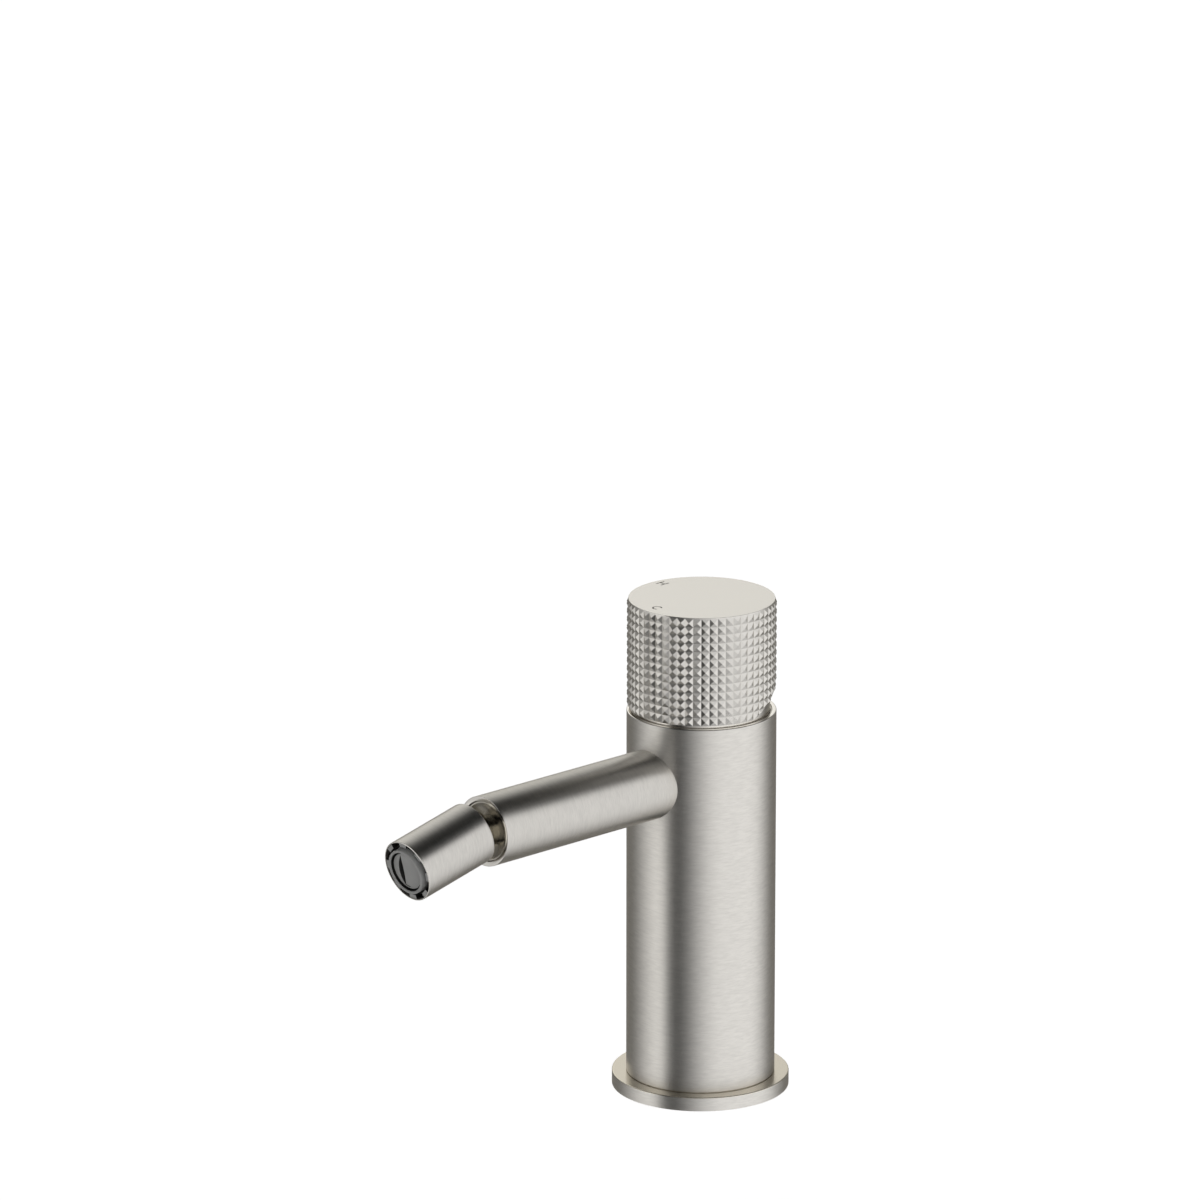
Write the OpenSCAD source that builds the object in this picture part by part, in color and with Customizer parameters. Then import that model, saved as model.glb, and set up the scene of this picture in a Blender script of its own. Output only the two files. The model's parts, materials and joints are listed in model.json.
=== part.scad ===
// Deck-mounted bidet mixer: a tube body with a knurled knob on top that turns
// and tilts back, a straight spout and a nozzle that swivels and tilts on a ball.
// Millimetres, +Z up, origin at the centre of the flange's underside,
// spout along -Y.

/* [Base flange] */
// Diameter of the flange
flange_d = 52.5; // [50:0.5:70]
// Thickness of the flange
flange_t = 4.25; // [3.5:0.25:8]
// Rounding of the flange's edges
flange_round = 0.3; // [0.1:0.05:0.8]
// Width of the gasket ring under the flange
gasket_w = 4; // [2:0.5:6]
// Thickness of the gasket ring
gasket_t = 1.5; // [1:0.1:2.5]

/* [Body] */
// Outside diameter of the tube body
body_d = 44; // [42:0.5:56]
// Wall of the tube body
body_wall = 1.25; // [0.8:0.05:2]
// Height of the body's rim above the spout's axis
rim_above_spout = 18.8; // [17.8:0.1:30]
// Rounding of the body's rim
rim_round = 0.3; // [0.1:0.05:0.5]
// Chamfer at the body's foot, which shows as a seam on the flange
foot_chamfer = 0.2; // [0.1:0.05:0.6]

/* [Inlets and fixing] */
// Diameter of the locating spigot through the flange
spigot_d = 34; // [32:0.5:36]
// Thread diameter of the two hose inlets
inlet_d = 10; // [8:0.5:11]
// Depth of the inlet threads
inlet_depth = 12; // [8:1:20]
// Distance between the two inlets
inlet_spacing = 18; // [16:0.5:20]
// Thread diameter of the fixing stud's hole
stud_hole_d = 8; // [6:0.5:8]
// Depth of the fixing stud's hole
stud_hole_depth = 20; // [12:1:30]
// Distance of the fixing stud's hole behind the body's axis
stud_offset = 10.5; // [10:0.25:12]
// Diameter of the waterways above the inlet threads
waterway_d = 8; // [5:0.5:9]
// Distance of the waterways' top below the cartridge's seat
waterway_drop = 8; // [4:0.5:14]
// Height over which each waterway meets its port
waterway_overlap = 6; // [4:0.5:10]

/* [Cartridge] */
// Outside diameter of the cartridge
cartridge_d = 26; // [24:0.5:27]
// Wall of the cartridge's housing
housing_wall = 2.4; // [2:0.1:2.6]
// Height of the cartridge's base plate
cartridge_base_t = 6; // [5:0.5:8]
// Distance of the cartridge's seat below the spout's axis
seat_drop = 17; // [16:0.5:22]
// Gap between the turning discs and the housing's inside
disc_gap = 0.6; // [0.4:0.05:1]
// Thickness of each ceramic disc
disc_t = 4; // [3:0.25:4]
// Thickness of the disc carrier
carrier_t = 4; // [3:0.25:4]
// Diameter of the hot and cold ports
port_d = 5.6; // [4:0.2:6]
// Distance of each port from the axis
port_offset = 5.5; // [5:0.1:6]
// Width left between each port and its seal
port_seal_margin = 0.4; // [0.3:0.05:0.6]
// Section diameter of the seals round the ports
port_seal_section = 1.5; // [1:0.1:1.6]
// Angle of the slot in the turning disc
slot_angle = 100; // [60:5:120]
// Diameter of the outlet window in the cartridge's side
window_d = 8; // [5:0.5:8.5]
// Diameter of the spindle
spindle_d = 8; // [7:0.25:9]
// Gap between the spindle's stop flange and the housing's inside
stop_flange_gap = 2.1; // [1.8:0.1:2.6]
// Thickness of the spindle's stop flange
stop_t = 2; // [1.5:0.25:2.5]
// Width of the stop rib in the cartridge
stop_rib_w = 3; // [2:0.25:4]
// Depth of the stop flange's cut-out
stop_cut = 3; // [2.5:0.25:3.2]
// Width of the spindle's driving tongue
tongue_w = 4; // [3:0.25:5]
// Length of the spindle's driving tongue
tongue_l = 13; // [10:0.5:15]
// Section diameter of the spindle's seal
spindle_seal_section = 1.6; // [1:0.1:1.8]
// Height of the cartridge housing's top plate
plate_t = 4; // [3.5:0.25:5]
// Height of the ring nut that holds the cartridge
nut_h = 6; // [5:0.5:7]
// Radial width of the ring nut's thread beyond the cartridge
nut_step = 1; // [0.6:0.1:1]
// Inside diameter of the ring nut
nut_bore_d = 14; // [12:0.5:18]
// Width of the spanner slots in the ring nut
nut_slot_w = 3; // [2:0.5:4]
// Depth of the spanner slots in the ring nut
nut_slot_depth = 2; // [1:0.25:3]

/* [Knob] */
// Height of the knurl's tips above the body's outside
knob_proud = 0; // [-0.5:0.05:1]
// Rows of knurl pyramids
knurl_rows = 13; // [11:1:18]
// Columns of knurl pyramids round the knob
knurl_cols = 56; // [36:1:64]
// Height of one row of pyramids
knurl_pitch = 2.5; // [2.2:0.05:3]
// Depth of the knurl from tip to valley
knurl_depth = 0.5; // [0.2:0.05:0.9]
// Turn of the knurl round the knob, in degrees
knurl_phase = 1.1; // [0:0.1:6]
// Wall of the knurled sleeve's upper part under the valleys
sleeve_wall = 2; // [1.2:0.1:2.4]
// Slope of the relief under the knob's back, in degrees
relief_angle = 24; // [23:0.5:28]
// Height of the smooth neck that shows between knob and body
neck_show = 1.1; // [0.6:0.1:3]
// Radial gap between the neck and the body's inside
neck_gap = 0.6; // [0.3:0.05:0.8]
// Height of the neck's ball above the relief's top
neck_extra = 1.5; // [1:0.1:2]
// Thickness of the neck's web on the spindle
neck_web_t = 1.5; // [1:0.1:2.5]
// Gap between the neck's ball and the tilting knob
tilt_gap = 0.25; // [0.15:0.05:0.4]
// Wall of the knob's neck and hub
hub_wall = 2; // [1.5:0.1:2.4]
// Thickness of the hub's web
web_t = 3; // [2:0.25:4]
// Gap between the hub's web and the neck's ball at full tilt
web_gap = 1; // [0.5:0.1:2]
// Diameter of the boss on the lever
boss_d = 16; // [13:0.5:18]
// Length of the boss below the web
boss_l = 9; // [6:0.5:10]
// Depth of the driving flats on the spindle and the lever
flat_depth = 1; // [0.5:0.1:1.5]
// Width of the fork's slot in the spindle's top
fork_slot_w = 3; // [2.4:0.1:3.4]
// Height of the fork above the tilt pin's axis
fork_rise = 4; // [3.5:0.1:4.5]
// Diameter of the tilt pin
tilt_pin_d = 2.4; // [2:0.1:2.6]
// Length of the tilt pin beyond the spindle on each side
tilt_pin_end = 2; // [1:0.25:4]
// Wall of the lever's foot round the tilt pin
foot_wall = 1.3; // [1:0.1:1.4]
// Thickness of the cap's edge above the knurl
cap_lip = 0.3; // [0.2:0.05:1]
// Depth of the cap's plug in the sleeve
cap_plug = 1.7; // [1:0.1:3]
// Thickness of the glide ring under the neck
glide_t = 1; // [0.6:0.1:2]
// Thread diameter of the knob's screw
screw_d = 4; // [3:0.5:4]
// Length of the screw's thread in the lever
screw_grip = 7; // [5:0.5:8]
// Diameter of the screw's head
screw_head_d = 7; // [6:0.25:8]
// Height of the screw's head
screw_head_h = 2.4; // [2:0.1:3]
// Width across flats of the screw's hexagon socket
screw_socket = 2.5; // [1.5:0.5:3]

/* [Spout] */
// Height of the spout's axis above the deck
spout_z = 97.3; // [80:0.1:140]
// Outside diameter of the spout
spout_d = 20.75; // [20.25:0.25:24]
// Wall of the spout tube
spout_wall = 1.4; // [0.8:0.1:1.5]
// Distance of the spout's end from the body's axis
spout_reach = 86.4; // [70:0.1:140]
// Diameter of the nipple that enters the valve core
nipple_d = 12; // [11:0.5:13]
// Wall left in the valve core behind the nipple
nipple_wall = 2; // [1.5:0.1:2.5]
// Length of the plug in the spout tube
plug_l = 12; // [8:0.5:16]
// Bore of the spout's spigot
spigot_bore_d = 7; // [5:0.5:7.5]
// Section diameter of the seals on the nipple
nipple_seal_section = 1.5; // [1:0.1:1.6]
// Length of the insert in the spout's end
insert_l = 16; // [14:0.5:20]
// Depth of the insert's face below the spout's end
insert_recess = 0.3; // [0.2:0.05:0.6]
// Depth of the dish in the insert's face
dish_depth = 2.1; // [1.8:0.1:2.6]
// Width of the flat rim round the dish
dish_rim = 0.7; // [0.4:0.1:1]
// Thickness of the insert's lip that holds the ball stud
lip_t = 2; // [1.5:0.25:3]

/* [Ball joint] */
// Wall of the nozzle round the ball
socket_wall = 1.32; // [1.1:0.02:1.6]
// Distance of the ball's centre beyond the spout's end
ball_standoff = 6.6; // [6.3:0.1:9]
// Diameter of the neck behind the ball
ball_neck_d = 9; // [8:0.25:9.5]
// Diameter of the stud in the insert
stud_d = 11.8; // [11:0.1:13]
// Length of the stud in the insert
stud_l = 8; // [6:0.5:8.5]
// Bore through the ball and its stud
ball_bore_d = 6; // [4:0.25:6.5]
// Section diameter of the stud's seal
stud_seal_section = 1.4; // [1:0.1:1.6]
// Length of the ring behind the stud
retainer_l = 2; // [1.5:0.25:2.5]

/* [Nozzle] */
// Downward tilt of the nozzle, in degrees
nozzle_tilt = 13.4; // [0:0.1:20]
// Outside diameter of the nozzle
nozzle_d = 18.6; // [18.4:0.1:19]
// Wall of the nozzle at its front end
nozzle_wall = 0.6; // [0.5:0.05:0.9]
// Length of the nozzle behind the ball's centre
nozzle_back = 2.5; // [2:0.1:2.8]
// Length of the nozzle in front of the ball's centre
nozzle_front = 23.4; // [23:0.1:30]
// Rounding of the nozzle's front edge
nozzle_round = 0.4; // [0.1:0.05:0.45]
// Front end of the ball's seat, from the ball's centre
seat_front = 9; // [8.8:0.1:10]
// Rear end of the ball's seat, from the ball's centre
seat_back = 2; // [1.5:0.1:3]
// Water hole through the ball's seat
seat_bore_d = 9; // [7:0.25:9]
// Section diameter of the ball's seal
ball_seal_section = 1.4; // [1:0.1:1.5]
// Thickness of the threaded ring that holds the seat
seat_nut_t = 2; // [1.5:0.25:2.5]
// Inside diameter of the seat's ring and of the aerator's washer
seat_nut_d = 11; // [9.5:0.25:12]

/* [Aerator] */
// Thickness of the aerator's washer
washer_t = 1.5; // [1:0.1:2]
// Thickness of the flow regulator
regulator_t = 2; // [1.5:0.25:2.5]
// Diameter of the holes in the flow regulator
regulator_hole_d = 2.4; // [1.5:0.1:3]
// Holes in the flow regulator
regulator_holes = 8; // [4:1:9]
// Thickness of the screen
screen_t = 0.6; // [0.4:0.1:1]
// Diameter of the screen's holes
screen_hole_d = 1.6; // [1:0.1:1.8]
// Width left between the screen's holes
screen_web = 0.8; // [0.5:0.1:1]
// Depth of the aerator's ring below the nozzle's edge
aerator_recess = 0.2; // [0.1:0.05:0.6]
// Blocks round the aerator's ring
block_count = 8; // [6:1:12]
// Angle of one block
block_angle = 19; // [12:1:24]
// Height of the blocks
block_h = 1.2; // [0.6:0.1:1.6]
// Radial width of the blocks
block_w = 0.9; // [0.6:0.05:1.1]
// Diameter of the middle face
face_d = 13.8; // [12:0.1:14]
// Depth of the middle face's seat below the ring's front
face_seat = 3.6; // [3:0.1:4]
// Width of the ledge that carries the middle face
face_ledge = 1; // [0.6:0.1:1.5]
// Width of the middle face's foot
face_foot = 0.3; // [0.2:0.05:0.4]
// Thickness of the middle face's foot
face_foot_t = 1.2; // [0.8:0.1:1.6]
// Height of the middle face above the ring
face_rise = 1.2; // [0.4:0.1:1.6]
// Width of the lip round the middle face
face_lip = 0.9; // [0.5:0.05:1.2]
// Depth of the dish in the middle face
face_dish = 1; // [0.3:0.05:1.4]
// Length of the slit in the middle face
slit_l = 9.5; // [6:0.25:10]
// Width of the slit in the middle face
slit_w = 1.6; // [0.6:0.1:2]
// Distance of the slit from the middle of the face
slit_offset = 1.6; // [0:0.1:2.5]
// Depth of the slit
slit_depth = 2.2; // [1:0.1:3]

/* [Clearances] */
// Gap between fixed pieces that fit into each other
fit = 0.05; // [0.02:0.01:0.08]
// Radial gap between pieces that turn in each other
running = 0.06; // [0.03:0.01:0.09]
// End gap between pieces that turn against each other
end_gap = 0.1; // [0.06:0.01:0.2]
// Gap between the ball and its seats
ball_gap = 0.08; // [0.05:0.01:0.1]
// Angle left at each end between the stop flange and its rib
stop_gap = 2; // [1:0.5:4]
// Turn of the knob from cold to hot, in degrees
knob_turn = 90; // [60:5:100]
// Tilt of the knob from shut to fully open, in degrees
knob_tilt = 20; // [15:1:22]

/* [Hidden] */
$fn = 96;
// Overlap of a cutting tool past the face that it cuts
over = 1;

body_r = body_d / 2;
shell_r = body_r - body_wall;
core_r = shell_r - fit;
spigot_r = spigot_d / 2;
rim_z = spout_z + rim_above_spout;

neck_r = shell_r - neck_gap;
tip_r = body_r + knob_proud;
valley_r = tip_r - knurl_depth;
sleeve_bore_r = valley_r - sleeve_wall;
hub_r = sleeve_bore_r - fit;
hub_in_r = hub_r - hub_wall;
neck_in_r = neck_r - hub_wall;
collar_r = neck_in_r - neck_gap;
skirt_bore_r = neck_r + tilt_gap;
knurl_z = rim_z + neck_show;
sleeve_top_z = knurl_z + knurl_rows * knurl_pitch;
knob_top_z = sleeve_top_z + cap_lip;
cap_seat_z = sleeve_top_z - cap_plug;

pivot_z = knurl_z;
pin_r = tilt_pin_d / 2;
foot_r = pin_r + foot_wall;
neck_rise = neck_r * tan(relief_angle) + neck_extra;
neck_reach = neck_r * sin(asin(neck_rise / neck_r) + knob_tilt);
neck_web_z = pivot_z - pin_r - fit - neck_web_t;
fork_top_z = pivot_z + fork_rise;
lever_z = pivot_z + (fork_rise + spindle_d / 2 * sin(knob_tilt)) / cos(knob_tilt) + 4 * end_gap;
web_z = ceil(20 * (pivot_z + neck_reach + web_gap)) / 20;
web_top_z = web_z + web_t;
step_z = web_z + web_t / 2;
boss_z = web_z - boss_l;
lever_top_z = web_z - fit;

cartridge_r = cartridge_d / 2;
nut_r = cartridge_r + nut_step;
core_top_z = neck_web_z - end_gap;
plate_top_z = core_top_z - nut_h;
shoulder_z = plate_top_z;
skirt_z = shoulder_z + glide_t + end_gap;
plate_z = plate_top_z - plate_t;
seat_z = spout_z - seat_drop;
disc_z = seat_z + cartridge_base_t;
turning_disc_z = disc_z + disc_t + end_gap;
carrier_z = turning_disc_z + disc_t;
carrier_top_z = carrier_z + carrier_t;
chamber_r = cartridge_r - housing_wall;
disc_r = chamber_r - disc_gap;
stop_r = chamber_r - stop_flange_gap;
port_seal_r = (port_d + port_seal_section) / 2 + port_seal_margin;
stop_top_z = plate_z - end_gap;
stop_z = stop_top_z - stop_t;
stop_inner_r = stop_r - stop_cut;
stop_rib_half = asin(stop_rib_w / 2 / stop_inner_r);
tongue_h = carrier_t / 2;
inlet_r = inlet_d / 2;
waterway_top_z = seat_z - waterway_drop;

spout_r = spout_d / 2;
spout_bore_r = spout_r - spout_wall;
plug_r = spout_bore_r - fit;
nipple_r = nipple_d / 2;
nipple_end = cartridge_r + nipple_wall;
plug_start = body_r + fit;
insert_front = spout_reach - insert_recess;
insert_back = insert_front - insert_l;
lip_front = insert_front - dish_depth;
lip_back = lip_front - lip_t;
stud_front = lip_back - end_gap;
stud_back = stud_front - stud_l;
retainer_front = stud_back - end_gap;
stud_r = stud_d / 2;
neck_hole_r = ball_neck_d / 2 + running;

nozzle_r = nozzle_d / 2;
socket_r = nozzle_r - socket_wall;
ball_r = socket_r - ball_gap;
ball_y = spout_reach + ball_standoff;
nozzle_bore_r = nozzle_r - nozzle_wall;
insert_fit_r = nozzle_bore_r - fit;
seat_nut_front = seat_front + seat_nut_t;
washer_front = seat_nut_front + washer_t;
regulator_front = washer_front + regulator_t;
screen_front = regulator_front + screen_t;
ring_front = nozzle_front - aerator_recess;
ledge_z = ring_front - face_seat;
face_r = face_d / 2;
face_foot_r = face_r + face_foot;
face_front = ring_front + face_rise;
ball_seal_angle = 50;

// Colours of the pieces
nickel = [0.74, 0.73, 0.70];
brass = [0.80, 0.66, 0.36];
black_rubber = [0.10, 0.10, 0.10];
white_plastic = [0.90, 0.90, 0.88];
grey_plastic = [0.42, 0.42, 0.41];
ceramic = [0.95, 0.94, 0.90];
steel = [0.62, 0.63, 0.64];

// Points of a quarter round about (x, z), from angle a to angle a + 90
function quarter(x, z, r, a) = [for (i = [0 : 4]) [x + r * cos(a + i * 22.5), z + r * sin(a + i * 22.5)]];

// Points of an arc about (x, z), from angle a to angle b
function arc(x, z, r, a, b) = [
    for (i = [0 : 16]) let (turn = a + (b - a) * i / 16) [x + r * cos(turn), z + r * sin(turn)]
];

// Valleys and tips of the knurl
function knurl_angle(col) = knurl_phase + 360 * col / knurl_cols;
function round_point(r, angle, z) = [r * cos(angle), r * sin(angle), z];
function valley_id(row, col) = row * knurl_cols + col % knurl_cols;
function tip_id(row, col) = (knurl_rows + 1) * knurl_cols + row * knurl_cols + col;

// Solid cylinder between two heights
module post(r, z0, z1) {
    translate([0, 0, z0])
        cylinder(r = r, h = z1 - z0);
}

// Ring between two radii and two heights
module ring(r_out, r_in, z0, z1) {
    difference() {
        post(r_out, z0, z1);
        post(r_in, z0 - over, z1 + over);
    }
}

// Sector of a ring, over an angle from a start
module ring_sector(r_out, r_in, z0, z1, start, angle) {
    rotate([0, 0, start])
        rotate_extrude(angle = angle)
            translate([r_in, z0])
                square([r_out - r_in, z1 - z0]);
}

// Round seal whose middle circle has radius r
module o_ring(r, section, z) {
    translate([0, 0, z])
        rotate_extrude()
            translate([r, 0])
                circle(d = section);
}

// Square groove for a round seal in a shaft of radius r
module seal_groove(r, section, z) {
    half = section / 2 + fit;
    ring(r + over, r - section - fit, z - half, z + half);
}

// Frame of the spout: its local +Z runs out from the body's axis
module at_spout() {
    translate([0, 0, spout_z])
        rotate([90, 0, 0])
            children();
}

// Frame of the nozzle: its local +Z runs from the ball's centre to the outlet
module at_ball() {
    translate([0, -ball_y, spout_z])
        rotate([90 + nozzle_tilt, 0, 0])
            children();
}

// Frame of the tilt pin: its local +Z runs along +X through the pivot
module at_pivot() {
    translate([0, 0, pivot_z])
        rotate([0, 90, 0])
            children();
}

// Hole for a shaft with a driving flat at its back
module keyed_hole(z0, z1) {
    hole_r = spindle_d / 2 + fit;
    difference() {
        post(hole_r, z0, z1);
        translate([-hole_r, hole_r - flat_depth, z0 - over])
            cube([2 * hole_r, hole_r, z1 - z0 + 2 * over]);
    }
}

// Driving flat at the back of a shaft
module shaft_flat(z0, z1) {
    shaft_r = spindle_d / 2;
    translate([-shaft_r - over, shaft_r - flat_depth, z0])
        cube([2 * (shaft_r + over), shaft_r, z1 - z0]);
}

// Places on both sides of the body's axis
module both_sides(x) {
    for (side = [-1, 1])
        translate([side * x, 0, 0])
            children();
}

// Base

module base_flange() {
    flange_r = flange_d / 2;
    bore_r = spigot_r + fit;
    gasket_mid = (bore_r + flange_r) / 2;
    outline = concat(
        [[bore_r, 0], [flange_r, 0]],
        quarter(flange_r - flange_round, flange_t - flange_round, flange_round, 0),
        [[bore_r, flange_t]]
    );
    color(nickel)
        difference() {
            rotate_extrude()
                polygon(outline);
            ring(gasket_mid + gasket_w / 2 + fit, gasket_mid - gasket_w / 2 - fit, -over, gasket_t);
        }
}

module base_gasket() {
    gasket_mid = (spigot_r + fit + flange_d / 2) / 2;
    color(black_rubber)
        ring(gasket_mid + gasket_w / 2, gasket_mid - gasket_w / 2, 0, gasket_t);
}

// Body

module body_shell() {
    outline = concat(
        [
            [shell_r, flange_t],
            [body_r - foot_chamfer, flange_t],
            [body_r, flange_t + foot_chamfer]
        ],
        quarter(body_r - rim_round, rim_z - rim_round, rim_round, 0),
        [[shell_r, rim_z]]
    );
    color(nickel)
        difference() {
            rotate_extrude()
                polygon(outline);
            at_spout()
                post(nipple_r + fit, 0, body_r + over);
        }
}

module valve_core() {
    color(brass)
        difference() {
            union() {
                post(spigot_r, 0, flange_t + over);
                post(core_r, flange_t, shoulder_z);
                post(collar_r, shoulder_z - over, core_top_z);
            }
            post(cartridge_r + fit, seat_z, core_top_z + over);
            post(nut_r + fit, plate_top_z, core_top_z + over);
            both_sides(port_offset)
                post(port_d / 2, waterway_top_z - waterway_overlap, seat_z + over);
            both_sides(inlet_spacing / 2) {
                post(waterway_d / 2, -over, waterway_top_z);
                post(inlet_r, -over, inlet_depth);
            }
            translate([0, stud_offset, 0])
                post(stud_hole_d / 2, -over, stud_hole_depth);
            at_spout() {
                post(window_d / 2, 0, core_r);
                post(nipple_r + fit, nipple_end, core_r + over);
            }
        }
}

module glide_ring() {
    color(white_plastic)
        ring(core_r, collar_r + fit, shoulder_z, shoulder_z + glide_t);
}

// Cartridge

module port_seal_places() {
    half = port_seal_section / 2;
    both_sides(port_offset)
        for (z = [seat_z + half, disc_z - half])
            translate([0, 0, z])
                children();
}

module cartridge_base() {
    half = port_seal_section / 2;
    color(grey_plastic)
        difference() {
            post(cartridge_r, seat_z, disc_z);
            both_sides(port_offset)
                post(port_d / 2, seat_z - over, disc_z + over);
            port_seal_places()
                ring(port_seal_r + half + fit, port_seal_r - half - fit, -half - fit, half + fit);
        }
}

module port_seals() {
    color(black_rubber)
        port_seal_places()
            o_ring(port_seal_r, port_seal_section, 0);
}

module fixed_disc() {
    color(ceramic)
        difference() {
            post(disc_r, disc_z, disc_z + disc_t);
            both_sides(port_offset)
                post(port_d / 2, disc_z - over, disc_z + disc_t + over);
        }
}

module turning_disc() {
    slot_inner = port_offset - port_d / 2;
    color(ceramic)
        difference() {
            post(disc_r, turning_disc_z, carrier_z);
            ring_sector(2 * disc_r, slot_inner, turning_disc_z - over, carrier_z + over,
                90 - slot_angle / 2, slot_angle);
        }
}

module tongue(l, w, z0, z1) {
    translate([-l / 2, -w / 2, z0])
        cube([l, w, z1 - z0]);
}

module disc_carrier() {
    color(white_plastic)
        difference() {
            post(disc_r, carrier_z, carrier_top_z);
            tongue(tongue_l + 2 * fit, tongue_w + 2 * fit,
                carrier_top_z - tongue_h - fit, carrier_top_z + over);
        }
}

module spindle() {
    seal_z = plate_z + plate_t / 2;
    shaft_r = spindle_d / 2;
    color(brass)
        difference() {
            union() {
                tongue(tongue_l, tongue_w, carrier_top_z - tongue_h, carrier_top_z + fit);
                post(stop_inner_r, carrier_top_z, stop_top_z);
                post(stop_r, stop_z, stop_top_z);
                post(shaft_r, stop_top_z - over, fork_top_z);
            }
            ring_sector(2 * stop_r, stop_inner_r, stop_z - over, stop_top_z + over,
                90 - knob_turn - stop_rib_half - stop_gap, knob_turn + 2 * (stop_rib_half + stop_gap));
            seal_groove(shaft_r, spindle_seal_section, seal_z);
            shaft_flat(neck_web_z - fit, fork_top_z + over);
            translate([-fork_slot_w / 2, -shaft_r - over, pivot_z - foot_r - end_gap])
                cube([fork_slot_w, 2 * (shaft_r + over), foot_r + end_gap + fork_rise + over]);
            at_pivot()
                post(pin_r + fit, -shaft_r - over, shaft_r + over);
        }
}

module spindle_seal() {
    color(black_rubber)
        o_ring((spindle_d - spindle_seal_section) / 2, spindle_seal_section, plate_z + plate_t / 2);
}

module cartridge_housing() {
    color(grey_plastic) {
        difference() {
            post(cartridge_r, disc_z, plate_top_z);
            post(disc_r + fit, disc_z - over, disc_z + disc_t);
            post(chamber_r, disc_z + disc_t / 2, plate_z);
            post(spindle_d / 2 + running, plate_z - over, plate_top_z + over);
            at_spout()
                post(window_d / 2, 0, cartridge_r + over);
        }
        translate([-stop_rib_w / 2, stop_inner_r + end_gap, stop_z])
            cube([stop_rib_w, chamber_r - stop_inner_r, plate_z - stop_z + over]);
    }
}

module cartridge_nut() {
    color(brass)
        difference() {
            ring(nut_r, nut_bore_d / 2, plate_top_z, core_top_z);
            for (turn = [0, 90])
                rotate([0, 0, turn])
                    tongue(2 * cartridge_d, nut_slot_w, core_top_z - nut_slot_depth, core_top_z + over);
        }
}

// Knob

module knob_neck() {
    ball_top = asin(neck_rise / neck_r);
    bore_top = asin(neck_rise / neck_in_r);
    outline = concat(
        [
            [0, neck_web_z],
            [neck_in_r, neck_web_z],
            [neck_in_r, skirt_z],
            [neck_r, skirt_z]
        ],
        arc(0, pivot_z, neck_r, 0, ball_top),
        arc(0, pivot_z, neck_in_r, bore_top, 0),
        [
            [neck_in_r, neck_web_z + neck_web_t],
            [0, neck_web_z + neck_web_t]
        ]
    );
    color(nickel)
        difference() {
            rotate_extrude()
                polygon(outline);
            keyed_hole(neck_web_z - over, pivot_z);
        }
}

module tilt_pin() {
    half = spindle_d / 2 + tilt_pin_end;
    color(steel)
        at_pivot()
            post(pin_r, -half, half);
}

module knob_lever() {
    half = fork_slot_w / 2 - running;
    blade = foot_r - foot_wall / 4;
    color(brass)
        difference() {
            union() {
                at_pivot()
                    post(foot_r, -half, half);
                translate([-half, -blade, pivot_z])
                    cube([2 * half, 2 * blade, lever_z - pivot_z + over]);
                post(spindle_d / 2, lever_z, lever_top_z);
            }
            at_pivot()
                post(pin_r + running, -half - over, half + over);
            shaft_flat(boss_z, web_z);
            post(screw_d / 2 + fit, lever_top_z - screw_grip - over, lever_top_z + over);
        }
}

module knob_hub() {
    flange_r = skirt_bore_r - fit;
    color(nickel)
        difference() {
            union() {
                difference() {
                    union() {
                        post(min(flange_r, hub_r), web_z, cap_seat_z);
                        post(flange_r, web_z, step_z);
                        post(hub_r, step_z, cap_seat_z);
                    }
                    post(hub_in_r, web_top_z, cap_seat_z + over);
                }
                post(boss_d / 2, boss_z, web_z + over);
            }
            keyed_hole(boss_z - over, web_z);
            post(screw_d / 2 + fit, boss_z, web_top_z + over);
        }
}

module knurled_sleeve() {
    cols = [0 : knurl_cols - 1];
    rows = [0 : knurl_rows - 1];
    valleys = [
        for (row = [0 : knurl_rows], col = cols)
            round_point(valley_r, knurl_angle(col), knurl_z + row * knurl_pitch)
    ];
    tips = [
        for (row = rows, col = cols)
            round_point(tip_r, knurl_angle(col + 0.5), knurl_z + (row + 0.5) * knurl_pitch)
    ];
    sides = [
        for (row = rows, col = cols)
            let (
                corners = [
                    valley_id(row, col), valley_id(row + 1, col),
                    valley_id(row + 1, col + 1), valley_id(row, col + 1)
                ]
            )
            for (i = [0 : 3])
                [corners[i], corners[(i + 1) % 4], tip_id(row, col)]
    ];
    bottom = [for (col = cols) valley_id(0, col)];
    top = [for (col = cols) valley_id(knurl_rows, knurl_cols - 1 - col)];
    color(nickel)
        difference() {
            polyhedron(points = concat(valleys, tips), faces = concat(sides, [bottom, top]));
            post(sleeve_bore_r, step_z - over, sleeve_top_z + over);
            post(skirt_bore_r, knurl_z - over, step_z);
            translate([0, 0, pivot_z])
                rotate([relief_angle, 0, 0])
                    translate([-body_d, 0, -body_d])
                        cube([2 * body_d, 2 * body_d, body_d]);
        }
}

module knob_cap() {
    color(nickel) {
        post(hub_r, cap_seat_z, sleeve_top_z + cap_lip / 2);
        post(valley_r, sleeve_top_z, knob_top_z);
    }
}

module knob_screw() {
    color(steel)
        difference() {
            union() {
                post(screw_d / 2, lever_top_z - screw_grip, web_top_z + screw_head_h / 2);
                post(screw_head_d / 2, web_top_z, web_top_z + screw_head_h);
            }
            translate([0, 0, web_top_z + screw_head_h / 3])
                cylinder(d = screw_socket / cos(30), h = screw_head_h, $fn = 6);
        }
}

// Spout

module spout_tube() {
    color(nickel)
        difference() {
            at_spout()
                ring(spout_r, spout_bore_r, 0, spout_reach);
            post(body_r + fit / 2, spout_z - spout_d, spout_z + spout_d);
        }
}

module nipple_seal_places() {
    step = 2 * nipple_seal_section;
    for (i = [0, 1])
        translate([0, 0, nipple_end + nipple_seal_section + i * step])
            children();
}

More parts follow.
